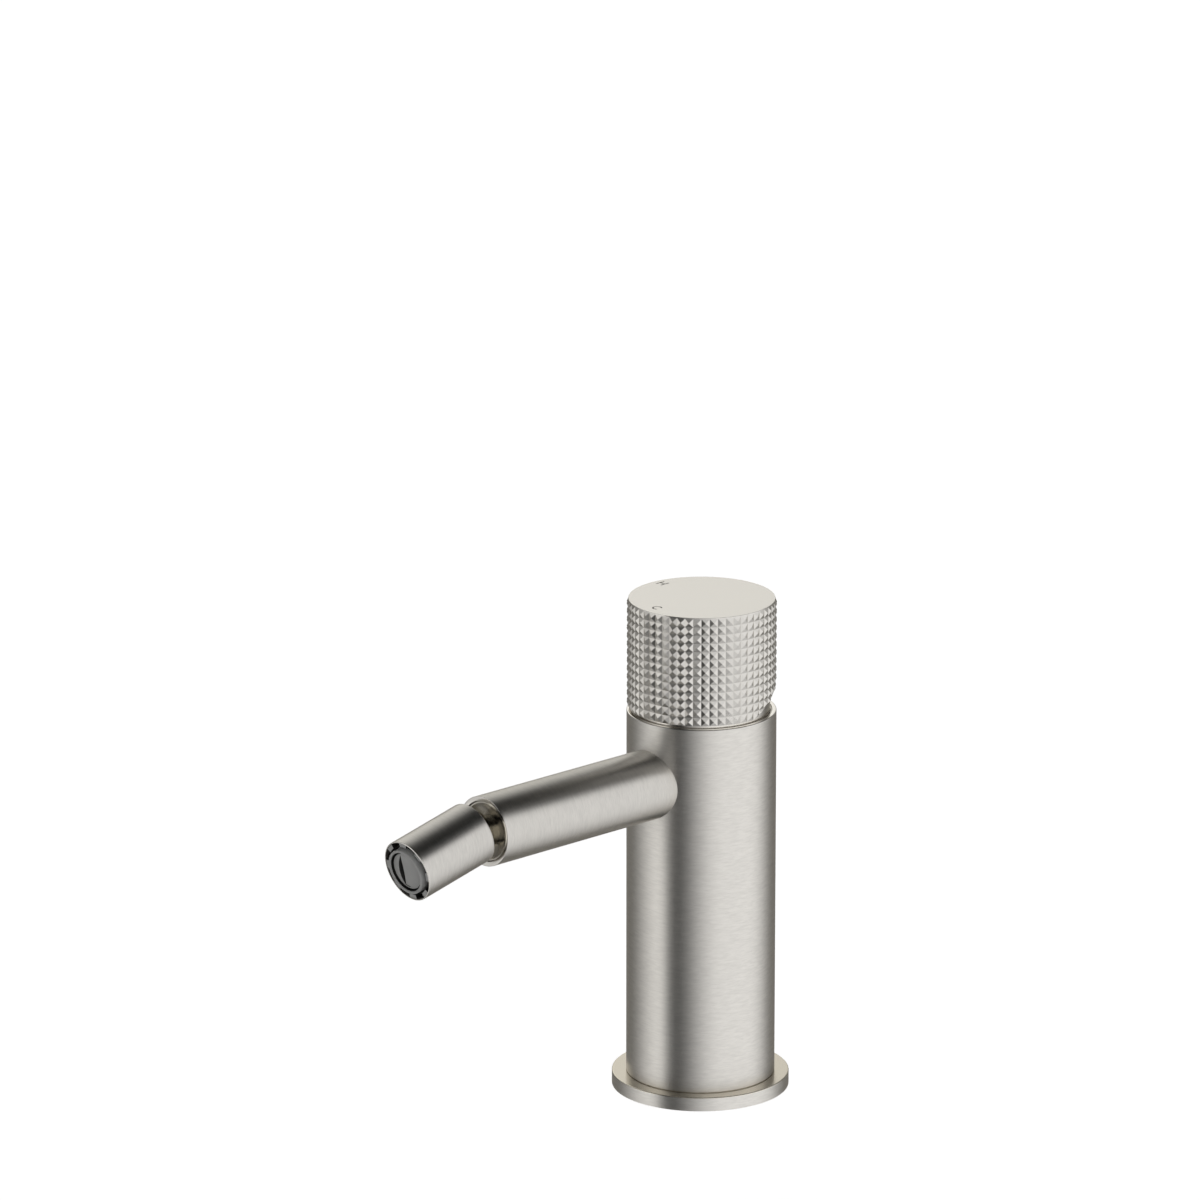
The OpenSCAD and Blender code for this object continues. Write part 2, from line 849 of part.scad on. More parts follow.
module spout_spigot() {
    color(brass)
        at_spout()
            difference() {
                union() {
                    post(nipple_r, nipple_end, plug_start + over);
                    post(plug_r, plug_start, plug_start + plug_l);
                }
                post(spigot_bore_d / 2, nipple_end - over, plug_start + plug_l + over);
                nipple_seal_places()
                    seal_groove(nipple_r, nipple_seal_section, 0);
            }
}

module nipple_seals() {
    color(black_rubber)
        at_spout()
            nipple_seal_places()
                o_ring(nipple_r - nipple_seal_section / 2, nipple_seal_section, 0);
}

module spout_insert() {
    dish_r = plug_r - dish_rim;
    outline = [
        [stud_r + running, insert_back],
        [plug_r, insert_back],
        [plug_r, insert_front - dish_rim / 2],
        [plug_r - dish_rim / 2, insert_front],
        [dish_r, insert_front],
        [neck_hole_r, lip_front],
        [neck_hole_r, lip_back],
        [stud_r + running, lip_back]
    ];
    color(nickel)
        at_spout()
            rotate_extrude()
                polygon(outline);
}

// Ball joint

module ball_stud() {
    seal_z = (stud_front + stud_back) / 2;
    color(nickel)
        at_spout()
            difference() {
                union() {
                    translate([0, 0, ball_y])
                        sphere(r = ball_r);
                    post(ball_neck_d / 2, stud_front - over, ball_y - ball_r / 2);
                    post(stud_r, stud_back, stud_front);
                }
                post(ball_bore_d / 2, stud_back - over, ball_y + ball_r + over);
                seal_groove(stud_r, stud_seal_section, seal_z);
            }
}

module stud_seal() {
    color(black_rubber)
        at_spout()
            o_ring((stud_d - stud_seal_section) / 2, stud_seal_section, (stud_front + stud_back) / 2);
}

module stud_retainer() {
    color(brass)
        at_spout()
            ring(stud_r + running - fit, ball_bore_d / 2, retainer_front - retainer_l, retainer_front);
}

// Nozzle

module nozzle_sleeve() {
    outline = concat(
        [[0, -nozzle_back], [nozzle_r, -nozzle_back]],
        quarter(nozzle_r - nozzle_round, nozzle_front - nozzle_round, nozzle_round, 0),
        [[0, nozzle_front]]
    );
    color(nickel)
        at_ball()
            difference() {
                rotate_extrude()
                    polygon(outline);
                sphere(r = socket_r);
                post(socket_r, 0, nozzle_front);
                post(nozzle_bore_r, seat_back, nozzle_front + over);
                post(ball_neck_d / 2, -nozzle_back - over, 0);
            }
}

module ball_seat() {
    color(white_plastic)
        at_ball()
            difference() {
                post(insert_fit_r, seat_back, seat_front);
                sphere(r = socket_r);
                post(seat_bore_d / 2, 0, seat_front + over);
                ball_seal_shape(ball_seal_section + 2 * fit);
            }
}

// Seal that lies against the front of the ball
module ball_seal_shape(section) {
    reach = socket_r + ball_seal_section / 2;
    o_ring(reach * sin(ball_seal_angle), section, reach * cos(ball_seal_angle));
}

module ball_seal() {
    color(black_rubber)
        at_ball()
            ball_seal_shape(ball_seal_section);
}

module seat_nut() {
    color(brass)
        at_ball()
            difference() {
                ring(insert_fit_r, seat_nut_d / 2, seat_front, seat_nut_front);
                tongue(nozzle_d, nut_slot_w, (seat_front + seat_nut_front) / 2, seat_nut_front + over);
            }
}

// Aerator

module aerator_washer() {
    color(black_rubber)
        at_ball()
            ring(insert_fit_r, seat_nut_d / 2, seat_nut_front, washer_front);
}

module flow_regulator() {
    color(white_plastic)
        at_ball()
            difference() {
                post(insert_fit_r, washer_front, regulator_front);
                for (i = [1 : regulator_holes])
                    rotate([0, 0, i * 360 / regulator_holes])
                        translate([seat_nut_d / 2 - regulator_hole_d / 2, 0, 0])
                            post(regulator_hole_d / 2, washer_front - over, regulator_front + over);
            }
}

module aerator_screen() {
    step = screen_hole_d + screen_web;
    color(steel)
        at_ball()
            difference() {
                post(insert_fit_r, regulator_front, screen_front);
                post(screen_hole_d / 2, regulator_front - over, screen_front + over);
                for (ring_no = [1, 2], i = [1 : 6 * ring_no])
                    rotate([0, 0, i * 60 / ring_no])
                        translate([ring_no * step, 0, 0])
                            post(screen_hole_d / 2, regulator_front - over, screen_front + over);
            }
}

module aerator_ring() {
    block_step = 360 / block_count;
    color(grey_plastic)
        at_ball()
            difference() {
                post(insert_fit_r, screen_front, ring_front);
                post(face_foot_r + fit, ledge_z, ring_front + over);
                post(face_foot_r - face_ledge, screen_front - over, ring_front);
                for (i = [1 : block_count])
                    ring_sector(nozzle_r, insert_fit_r - block_w, ring_front - block_h, ring_front + over,
                        i * block_step + block_angle / 2, block_step - block_angle);
            }
}

module aerator_face() {
    dish_r = face_r - face_lip;
    lip_round = face_lip / 2;
    outline = concat(
        [
            [0, ledge_z],
            [face_foot_r, ledge_z],
            [face_foot_r, ledge_z + face_foot_t],
            [face_r, ledge_z + face_foot_t]
        ],
        quarter(face_r - lip_round, face_front - lip_round, lip_round, 0),
        [[dish_r, face_front], [dish_r, face_front - face_dish / 2], [0, face_front - face_dish]]
    );
    slit_r = (slit_l * slit_l + slit_w * slit_w) / (4 * slit_w);
    color(grey_plastic)
        at_ball()
            difference() {
                rotate_extrude()
                    polygon(outline);
                translate([-slit_offset, 0, face_front - slit_depth])
                    linear_extrude(slit_depth)
                        intersection_for (side = [-1, 1])
                            translate([side * (slit_r - slit_w / 2), 0])
                                circle(slit_r);
            }
}

base_flange();
base_gasket();
body_shell();
valve_core();
cartridge_base();
port_seals();
fixed_disc();
turning_disc();
disc_carrier();
spindle();
spindle_seal();
cartridge_housing();
cartridge_nut();
glide_ring();
knob_neck();
tilt_pin();
knob_lever();
knob_hub();
knurled_sleeve();
knob_cap();
knob_screw();
spout_tube();
spout_spigot();
nipple_seals();
spout_insert();
ball_stud();
stud_seal();
stud_retainer();
nozzle_sleeve();
ball_seat();
ball_seal();
seat_nut();
aerator_washer();
flow_regulator();
aerator_screen();
aerator_ring();
aerator_face();
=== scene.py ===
"""Looks of the bidet mixer: brushed nickel tubes, a knurled grip, a polished ball and a grey aerator."""

import json
from math import asin, atan2, cos, degrees, pi, radians, sin, sqrt

import bmesh
import bpy
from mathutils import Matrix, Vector


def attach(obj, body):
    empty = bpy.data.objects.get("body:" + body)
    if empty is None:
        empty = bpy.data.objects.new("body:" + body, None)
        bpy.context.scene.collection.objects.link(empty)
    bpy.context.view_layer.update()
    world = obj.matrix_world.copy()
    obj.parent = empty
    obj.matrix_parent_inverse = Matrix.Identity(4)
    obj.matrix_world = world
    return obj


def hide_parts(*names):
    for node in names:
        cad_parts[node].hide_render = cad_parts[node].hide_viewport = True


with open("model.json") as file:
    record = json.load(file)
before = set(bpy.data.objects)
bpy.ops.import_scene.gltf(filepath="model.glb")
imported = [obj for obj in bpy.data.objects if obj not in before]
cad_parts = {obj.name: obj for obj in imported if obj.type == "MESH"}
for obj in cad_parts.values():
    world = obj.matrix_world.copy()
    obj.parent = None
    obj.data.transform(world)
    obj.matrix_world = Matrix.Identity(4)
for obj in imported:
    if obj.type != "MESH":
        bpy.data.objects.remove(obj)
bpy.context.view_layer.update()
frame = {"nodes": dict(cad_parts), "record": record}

MM = 0.001

# Sizes of the mixer in millimetres and degrees, nearly all the same as in the part's source
FLANGE_R = 26.25
FLANGE_T = 4.25
BODY_R = 22.0
BODY_BORE_R = 20.75
RIM_Z = 116.1
KNURL_Z = PIVOT_Z = 117.2
KNURL_TOP_Z = 149.7
KNURL_ROWS = 13
KNURL_COLUMNS = 56
KNURL_PHASE = 1.1
KNURL_TIP_R = 22.0
KNURL_VALLEY_R = 21.5
RELIEF_ANGLE = 24.0
GRIP_BORE_R = 19.5
GRIP_SKIRT_R = 20.4
GRIP_STEP_Z = 135.45
NECK_R = 20.15
NECK_BORE_R = 18.15
NECK_FOOT_Z = 109.45
NECK_RISE = 10.47
NECK_WEB_Z = 114.45
NECK_WEB_TOP_Z = 115.95
SPINDLE_HOLE_R = 4.05
CAP_PLUG_R = 19.45
CAP_SEAT_Z = 148.0
KNOB_TOP_Z = 150.0
MARK_DEPTH = 0.1
STROKE = 0.42
COLD_MARK_AT = (-1.0, -17.0)
HOT_MARK_AT = (-18.3, 1.45)
SPOUT_Z = 97.3
SPOUT_R = 10.375
SPOUT_BORE_R = 8.975
SPOUT_REACH = 86.4
END_CONE = 0.03
COPE_R = 22.025
NIPPLE_HOLE_R = 6.05
BALL_Y = 93.0
BALL_R = 7.9
NOZZLE_TILT = 13.4
NOZZLE_R = 9.3
NOZZLE_BORE_R = 8.7
NOZZLE_BACK = -2.5
NOZZLE_FRONT = 23.4
RIM_SLOPE = 0.07
MOUTH_R = 8.95
MOUTH_FLOOR = 20.4
SOCKET_R = 7.98
AERATOR_LEDGE = 19.6

# How finely round forms are divided, and how close points count as one
TUBE_SIDES = 192
CUTTER_SIDES = 384
WELD = 0.002
SAME_RING = 0.02

NO_TURN = (0, 0, 0)
QUARTER_TURN = (radians(90), 0, 0)


# Modelling steps


def put_tools_down():
    """Leaves edit mode with nothing selected."""
    if bpy.context.mode != "OBJECT":
        bpy.ops.object.mode_set(mode="OBJECT")
    bpy.ops.object.select_all(action="DESELECT")


def hold(piece):
    """Makes one piece the selected and active one."""
    put_tools_down()
    piece.select_set(True)
    bpy.context.view_layer.objects.active = piece


def settle():
    """Puts the place, turn and scale of the held piece into its mesh."""
    bpy.ops.object.transform_apply(location=True, rotation=True, scale=True)


def weld():
    """In edit mode, joins points that lie in one place."""
    bpy.ops.mesh.select_all(action="SELECT")
    bpy.ops.mesh.remove_doubles(threshold=WELD * MM)


def turn_on_lathe(name, profile, sides=TUBE_SIDES, solid=False):
    """Turns a piece round the Z axis from (radius, height) pairs in millimetres, ring after ring.

    A solid piece gets a face at each end; any other profile comes back to its first ring."""
    put_tools_down()
    radius, height = profile[0]
    bpy.ops.mesh.primitive_circle_add(
        vertices=sides, radius=radius * MM, location=(0, 0, height * MM),
        fill_type="NGON" if solid else "NOTHING",
    )
    piece = bpy.context.object
    piece.name = piece.data.name = name
    settle()
    bpy.ops.object.mode_set(mode="EDIT")
    bpy.ops.mesh.select_mode(type="EDGE")
    bpy.ops.mesh.select_all(action="SELECT")
    rest = list(profile[1:]) if solid else list(profile[1:]) + [profile[0]]
    for next_radius, next_height in rest:
        rise = (next_height - height) * MM
        bpy.ops.mesh.extrude_edges_move(TRANSFORM_OT_translate={"value": (0, 0, rise)})
        if next_radius != radius:
            share = next_radius / radius
            bpy.ops.transform.resize(value=(share, share, 1), center_override=(0, 0, next_height * MM))
        radius, height = next_radius, next_height
    if solid:
        bpy.ops.mesh.edge_face_add()
    weld()
    bpy.ops.mesh.normals_make_consistent(inside=False)
    bpy.ops.object.mode_set(mode="OBJECT")
    return piece


def select_parts(piece, kind, wanted):
    """In edit mode, selects the edges or faces for which wanted is true."""
    hold(piece)
    bpy.ops.object.mode_set(mode="EDIT")
    bpy.ops.mesh.select_mode(type=kind)
    bpy.ops.mesh.select_all(action="DESELECT")
    mesh = bmesh.from_edit_mesh(piece.data)
    for part in mesh.edges if kind == "EDGE" else mesh.faces:
        if wanted(part):
            part.select_set(True)
    bmesh.update_edit_mesh(piece.data)


def ring_radius(point):
    """How far a point is from the Z axis."""
    return sqrt(point.x * point.x + point.y * point.y)


def round_rings(piece, rings, width, segments):
    """Rounds the edges that run round the Z axis at the given radii and heights."""

    def lies_on(point, ring):
        radius, height = ring
        near = abs(ring_radius(point) - radius * MM) < SAME_RING * MM
        return near and abs(point.z - height * MM) < SAME_RING * MM

    def on_ring(edge):
        return any(all(lies_on(v.co, ring) for v in edge.verts) for ring in rings)

    select_parts(piece, "EDGE", on_ring)
    bpy.ops.mesh.bevel(offset=width * MM, segments=segments, profile=0.5, affect="EDGES")
    bpy.ops.object.mode_set(mode="OBJECT")


def lay_along(piece, tilt, start):
    """Lays a turned piece along the spout: its Z axis then runs outwards, tilted down by some degrees."""
    hold(piece)
    piece.rotation_euler = (radians(90 + tilt), 0, 0)
    piece.location = [value * MM for value in start]
    settle()


def cut(piece, tool, operation="DIFFERENCE"):
    """Cuts a piece with a tool, which is then gone."""
    step = piece.modifiers.new("cut", "BOOLEAN")
    step.operation = operation
    step.solver = "EXACT"
    step.material_mode = "TRANSFER"
    step.object = tool
    hold(piece)
    bpy.ops.object.modifier_apply(modifier=step.name)
    bpy.data.objects.remove(tool)


def soften_edges(piece, width):
    """Breaks every sharp edge by a small bevel."""
    step = piece.modifiers.new("broken edges", "BEVEL")
    step.width = width * MM
    step.segments = 2
    step.limit_method = "ANGLE"
    step.angle_limit = radians(30)
    hold(piece)
    bpy.ops.object.modifier_apply(modifier=step.name)


def round_bar(radius, length, middle, turn=NO_TURN, sides=CUTTER_SIDES):
    """A plain bar that serves as a cutting tool."""
    put_tools_down()
    bpy.ops.mesh.primitive_cylinder_add(
        vertices=sides, radius=radius * MM, depth=length * MM,
        location=[value * MM for value in middle], rotation=turn,
    )
    settle()
    return bpy.context.object


def dress(piece, finish):
    """Gives a whole piece one finish."""
    piece.data.materials.clear()
    piece.data.materials.append(finish)


def finish_faces(piece, finish, wanted):
    """Gives some faces of a piece a finish of their own."""
    piece.data.materials.append(finish)
    select_parts(piece, "FACE", wanted)
    piece.active_material_index = len(piece.data.materials) - 1
    bpy.ops.object.material_slot_assign()
    bpy.ops.object.mode_set(mode="OBJECT")


def hand_over(piece, body, node, finish=None, smooth=35):
    """Smooths a finished piece, gives it its finish and lets it ride on its body."""
    hold(piece)
    bpy.ops.object.shade_smooth_by_angle(angle=radians(smooth))
    step = piece.modifiers.new("even normals", "WEIGHTED_NORMAL")
    step.keep_sharp = True
    bpy.ops.object.modifier_apply(modifier=step.name)
    if finish:
        dress(piece, finish)
    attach(piece, body)
    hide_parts(node)


def brush_along_y(piece):
    """Turns the default grain of a tube that lies along Y, so that its highlight stretches along the tube."""
    piece.data.use_auto_texspace = False
    piece.data.texspace_location = (-10, 0, 0)
    piece.data.texspace_size = (1, 1, 1)


# Nodes written as sums


class Wire:
    """One socket of a node tree. Sums on it add Math nodes, and node() adds any other node."""

    def __init__(self, tree, socket=None):
        self.tree = tree
        self.socket = socket

    def node(self, kind, settings=None, inputs=None, out=0):
        """Adds a node, sets or links its inputs and gives one of its outputs."""
        made = self.tree.nodes.new(kind)
        for key, value in (settings or {}).items():
            setattr(made, key, value)
        for key, value in (inputs or {}).items():
            if isinstance(value, Wire):
                self.tree.links.new(value.socket, made.inputs[key])
            else:
                made.inputs[key].default_value = value
        return Wire(self.tree, made.outputs[out] if len(made.outputs) else None)

    def maths(self, operation, first, second=0.0):
        """Adds a Math node."""
        return self.node("ShaderNodeMath", {"operation": operation}, {0: first, 1: second})

    def __add__(self, other):
        return self.maths("ADD", self, other)

    def __radd__(self, other):
        return self.maths("ADD", other, self)

    def __rsub__(self, other):
        return self.maths("SUBTRACT", other, self)

    def __mul__(self, other):
        return self.maths("MULTIPLY", self, other)

    def spread(self, low, high):
        """Brings 0 to 1 into a range."""
        return self * (high - low) + low

    def fade(self, low, high):
        """A smooth step from 0 at low to 1 at high."""
        return self.node(
            "ShaderNodeMapRange", {"interpolation_type": "SMOOTHSTEP"},
            {"Value": self, "From Min": low, "From Max": high, "To Min": 0.0, "To Max": 1.0},
        )

    def tint(self, dark, light):
        """Blends two colours by this value."""
        return self.node(
            "ShaderNodeMix", {"data_type": "RGBA"}, {"Factor": self, 6: (*dark, 1), 7: (*light, 1)}, out=2
        )


def new_finish(name):
    """An empty material and the first wire of its nodes."""
    finish = bpy.data.materials.new(name)
    finish.use_nodes = True
    finish.node_tree.nodes.clear()
    return finish, Wire(finish.node_tree)


def coat(wire, fixed, varied, normal=None):
    """Ends a finish in its shader: fixed numbers, and wires for what changes over the surface."""
    inputs = dict(fixed)
    inputs.update(varied)
    if normal:
        inputs["Normal"] = normal
    shader = wire.node("ShaderNodeBsdfPrincipled", None, inputs)
    wire.node("ShaderNodeOutputMaterial", None, {"Surface": shader})


def placed(wire, turn=NO_TURN, scale=(1, 1, 1)):
    """Object coordinates, turned and stretched."""
    where = wire.node("ShaderNodeTexCoord", out="Object")
    return wire.node(
        "ShaderNodeMapping", {"vector_type": "POINT"}, {"Vector": where, "Rotation": turn, "Scale": scale}
    )


def grain(wire, where, scale=1.0, detail=3.0, roughness=0.55):
    """Noise between 0 and 1."""
    return wire.node(
        "ShaderNodeTexNoise", {"noise_dimensions": "3D"},
        {"Vector": where, "Scale": scale, "Detail": detail, "Roughness": roughness},
    )


def bump(wire, height, strength, depth):
    """A fine relief of some millimetres' depth."""
    inputs = {"Height": height, "Strength": strength, "Distance": depth * MM}
    return wire.node("ShaderNodeBump", None, inputs)


# Finishes. Noise scales count cells per metre; rough is the range of the roughness.

NICKEL = (0.78, 0.757, 0.717)
NICKEL_EDGE = (0.70, 0.69, 0.67)
WHITE_EDGE = (1.0, 1.0, 1.0)
# The flange top's nickel and its edge tint are warm olive: the satin is real, and the tint is a painted
# reflection of the body in it
FLANGE_PAINTED_REFLECTION = (0.80, 0.755, 0.665)
FLANGE_EDGE = (0.88, 0.86, 0.82)
BALL_NICKEL = ((0.68, 0.65, 0.59), (0.75, 0.72, 0.66))
# The dish's nickel is darker: painted shade, standing for the dark reflection of the nozzle's back and the
# ball
DISH_PAINTED_SHADE = ((0.40, 0.375, 0.32), (0.47, 0.44, 0.38))
ETCH_GREYS = ((0.05, 0.047, 0.042), (0.11, 0.105, 0.095))
RUBBER_GREYS = ((0.022, 0.022, 0.022), (0.05, 0.05, 0.048))
CERAMIC_WHITES = ((0.90, 0.885, 0.84), (0.95, 0.94, 0.905))

FINE_LINES = (400.0, 2900.0)
WIDE_LINES = (240.0, 1000.0)
CLOUDS = (28, 28, 28)
EVEN_BLAST = (5200.0, 5200.0, 5200.0)
FRONT_TO_BACK_LINES = (3400.0, 150.0, 150.0)
POLISHING_RINGS = (120, 1500, 120)
TURNING_LINES = (60, 60, 2200)


def shade(colour, share):
    """A colour made lighter or darker."""
    return tuple(value * share for value in colour)


def lines_across(axis, sizes):
    """Noise scales for lines that run across one axis, from the scale along the lines and the one across."""
    scale = [sizes[0]] * 3
    scale[axis] = sizes[1]
    return scale


def brushed_nickel(name, turn, axis, stretch_turn, level, smooth, stretch):
    """Nickel brushed round a tube: short fine lines across its axis and a highlight that runs along it."""
    finish, wire = new_finish(name)
    lines = grain(wire, placed(wire, turn, lines_across(axis, FINE_LINES)), detail=3.0, roughness=0.6)
    bands = grain(wire, placed(wire, turn, lines_across(axis, WIDE_LINES)), detail=2.0)
    clouds = grain(wire, placed(wire, turn, CLOUDS), detail=2.0)
    streaks = lines * 0.6 + bands * 0.4
    tone = streaks.fade(0.30, 0.70) * 0.85 + clouds * 0.15
    coat(
        wire,
        {"Metallic": 1.0, "Specular Tint": (*NICKEL_EDGE, 1), "Anisotropic": stretch,
         "Anisotropic Rotation": stretch_turn},
        {"Base Color": tone.tint(shade(NICKEL, level * 0.92), shade(NICKEL, level * 1.08)),
         "Roughness": streaks.spread(smooth, smooth + 0.05)},
        bump(wire, streaks, 0.10, 0.015),
    )
    return finish


def satin_nickel(
    name, rough, lift, level=1.0, colour=NICKEL, edge=NICKEL_EDGE, metal=1.0, texture=EVEN_BLAST
):
    """Nickel with a fine blast or faint lines; edge is its tint where it is seen at a low angle."""
    finish, wire = new_finish(name)
    specks = grain(wire, placed(wire, NO_TURN, texture), detail=2.0)
    clouds = grain(wire, placed(wire), scale=60.0, detail=3.0)
    tone = specks * 0.4 + clouds * 0.6
    coat(
        wire, {"Metallic": metal, "Specular Tint": (*edge, 1)},
        {"Base Color": tone.fade(0.2, 0.8).tint(shade(colour, level * 0.97), shade(colour, level * 1.03)),
         "Roughness": tone.spread(*rough)},
        bump(wire, specks, lift, 0.01),
    )
    return finish


def polished_nickel(name, colours, rough):
    """Nickel polished on a lathe, with hardly visible rings."""
    finish, wire = new_finish(name)
    rings = grain(wire, placed(wire, NO_TURN, POLISHING_RINGS), detail=2.0)
    coat(
        wire, {"Metallic": 1.0},
        {"Base Color": rings.tint(*colours), "Roughness": rings.spread(*rough)},
        bump(wire, rings, 0.05, 0.005),
    )
    return finish


def etched_line(name):
    """The bottom of the two engraved marks."""
    finish, wire = new_finish(name)
    pits = grain(wire, placed(wire), scale=6000.0, detail=2.0)
    coat(
        wire, {"Metallic": 1.0},
        {"Base Color": pits.tint(*ETCH_GREYS), "Roughness": pits.spread(0.5, 0.65)},
    )
    return finish


def moulded_plastic(name, dark, light, rough, specular=0.5):
    """Plastic from a mould with a fine skin."""
    finish, wire = new_finish(name)
    skin = grain(wire, placed(wire), scale=2800.0, detail=3.0)
    clouds = grain(wire, placed(wire), scale=120.0, detail=2.0)
    coat(
        wire, {"Specular IOR Level": specular},
        {"Base Color": clouds.fade(0.3, 0.7).tint(dark, light), "Roughness": skin.spread(*rough)},
        bump(wire, skin, 0.15, 0.02),
    )
    return finish


def machined_metal(name, dark, light, rough):
    """Bare metal with turning lines and faint stains."""
    finish, wire = new_finish(name)
    lines = grain(wire, placed(wire, NO_TURN, TURNING_LINES), detail=3.0)
    stains = grain(wire, placed(wire), scale=90.0, detail=3.0)
    tone = lines * 0.5 + stains * 0.5
    coat(
        wire, {"Metallic": 1.0},
        {"Base Color": tone.fade(0.3, 0.7).tint(dark, light), "Roughness": lines.spread(*rough)},
        bump(wire, lines, 0.2, 0.02),
    )
    return finish


def soft_rubber(name):
    """Matt black rubber with a little dust."""
    finish, wire = new_finish(name)
    skin = grain(wire, placed(wire), scale=2200.0, detail=4.0)
    dust = grain(wire, placed(wire), scale=150.0, detail=3.0)
    coat(
        wire, {"Specular IOR Level": 0.35},
        {"Base Color": dust.fade(0.35, 0.75).tint(*RUBBER_GREYS), "Roughness": skin.spread(0.6, 0.85)},
        bump(wire, skin, 0.25, 0.04),
    )
    return finish


def lapped_ceramic(name):
    """White ceramic, ground almost to a mirror."""
    finish, wire = new_finish(name)
    specks = grain(wire, placed(wire), scale=4000.0, detail=3.0)
    clouds = grain(wire, placed(wire), scale=80.0, detail=2.0)
    coat(
        wire, {"Specular IOR Level": 0.55},
        {"Base Color": clouds.tint(*CERAMIC_WHITES), "Roughness": specks.spread(0.12, 0.22)},
        bump(wire, specks, 0.03, 0.01),
    )
    return finish


UPRIGHT = {"turn": NO_TURN, "axis": 2, "stretch_turn": 0.25}
LYING = {"turn": NO_TURN, "axis": 1, "stretch_turn": 0.0}
HANGING = {"turn": (radians(-NOZZLE_TILT), 0, 0), "axis": 1, "stretch_turn": 0.0}

body_brush = brushed_nickel("nickel_brushed_round_body", **UPRIGHT, level=1.09, smooth=0.385, stretch=0.62)
# The neck's nickel is lighter than the body's: painted light that lifts the band under the knob out of its
# shadow
neck_brush_painted_light = brushed_nickel("nickel_brushed_round_neck_painted_light", **UPRIGHT, level=1.16, smooth=0.16, stretch=0.3)
spout_brush = brushed_nickel("nickel_brushed_round_spout", **LYING, level=0.98, smooth=0.335, stretch=0.72)
nozzle_brush = brushed_nickel("nickel_brushed_round_nozzle", **HANGING, level=0.94, smooth=0.35, stretch=0.68)
rim_satin = satin_nickel("nickel_satin_rims", (0.12, 0.18), 0.04, 1.2, edge=WHITE_EDGE)
cap_satin = satin_nickel(
    "nickel_satin_cap", (0.15, 0.21), 0.04, 1.14, edge=WHITE_EDGE, metal=0.8, texture=FRONT_TO_BACK_LINES
)
knurl_satin = satin_nickel("nickel_satin_knurl", (0.25, 0.31), 0.08, 1.05)
plate_satin_painted_reflection = satin_nickel(
    "nickel_satin_flange_top_painted_reflection", (0.20, 0.28), 0.05, colour=FLANGE_PAINTED_REFLECTION, edge=FLANGE_EDGE
)
end_satin = satin_nickel("nickel_satin_spout_end", (0.12, 0.18), 0.05, 1.12, edge=WHITE_EDGE)
joint_polish = polished_nickel("nickel_polished_joint", BALL_NICKEL, (0.09, 0.15))
dish_painted_shade = polished_nickel("nickel_turned_dish_painted_shade", DISH_PAINTED_SHADE, (0.17, 0.24))
mark_etch = etched_line("nickel_etched_mark")
grey_moulded = moulded_plastic(
    "plastic_grey_moulded", (0.59, 0.59, 0.583), (0.65, 0.65, 0.642), (0.36, 0.46)
)
# Near-black plastic: painted shade on the walls of the aerator's groove and between the collar's blocks
shade_painted_plastic = moulded_plastic(
    "plastic_painted_shade_gaps", (0.012, 0.012, 0.012), (0.022, 0.022, 0.021), (0.5, 0.65), 0.2
)
# Dark grey plastic: painted shade on the walls of the slit and the crease in the aerator's middle
slit_painted_shade = moulded_plastic("plastic_slit_wall_painted_shade", (0.07, 0.07, 0.069), (0.10, 0.10, 0.098), (0.5, 0.65), 0.15)
white_moulded = moulded_plastic("plastic_white_moulded", (0.80, 0.80, 0.78), (0.88, 0.88, 0.86), (0.35, 0.5))
brass_machined = machined_metal("brass_machined", (0.70, 0.55, 0.27), (0.84, 0.70, 0.40), (0.22, 0.36))
steel_bright = machined_metal("steel_bright", (0.54, 0.55, 0.56), (0.66, 0.67, 0.68), (0.2, 0.34))
rubber_black = soft_rubber("rubber_black_matt")
ceramic_lapped = lapped_ceramic("ceramic_lapped")

SLOT_FINISHES = {
    "brushed_nickel": body_brush,
    "brass": brass_machined,
    "black_rubber": rubber_black,
    "grey_plastic": grey_moulded,
    "white_plastic": white_moulded,
    "ceramic": ceramic_lapped,
    "steel": steel_bright,
}


def finish_cad_nodes():
    """Gives every node that keeps its CAD shape the finish of its slot."""
    for row in frame["record"]["subparts"]:
        node = frame["nodes"][row["node"]]
        for place in node.material_slots:
            place.material = SLOT_FINISHES[row["material_slot"]]


# Body, flange and knob


def make_flange():
    """The round foot plate, with a groove for the gasket below."""
    gasket_in, gasket_out, gasket_depth, bore = 19.6, 23.7, 1.5, 17.05
    seat_r, top_round, foot_round, least_rise = BODY_R + 0.4, 0.3, 0.1, 0.2
    flange = turn_on_lathe("flange_plate", [
        (bore, 0), (gasket_in, 0), (gasket_in, gasket_depth), (gasket_out, gasket_depth), (gasket_out, 0),
        (FLANGE_R, 0), (FLANGE_R, FLANGE_T), (seat_r, FLANGE_T), (bore, FLANGE_T),
    ])
    round_rings(flange, [(FLANGE_R, FLANGE_T)], top_round, 3)
    round_rings(flange, [(FLANGE_R, 0)], foot_round, 2)
    dress(flange, body_brush)
    # The top faces get the olive-tinted satin: real satin with a painted reflection
    finish_faces(flange, plate_satin_painted_reflection, lambda face: face.normal.z > least_rise)
    hand_over(flange, "body", "base_flange")


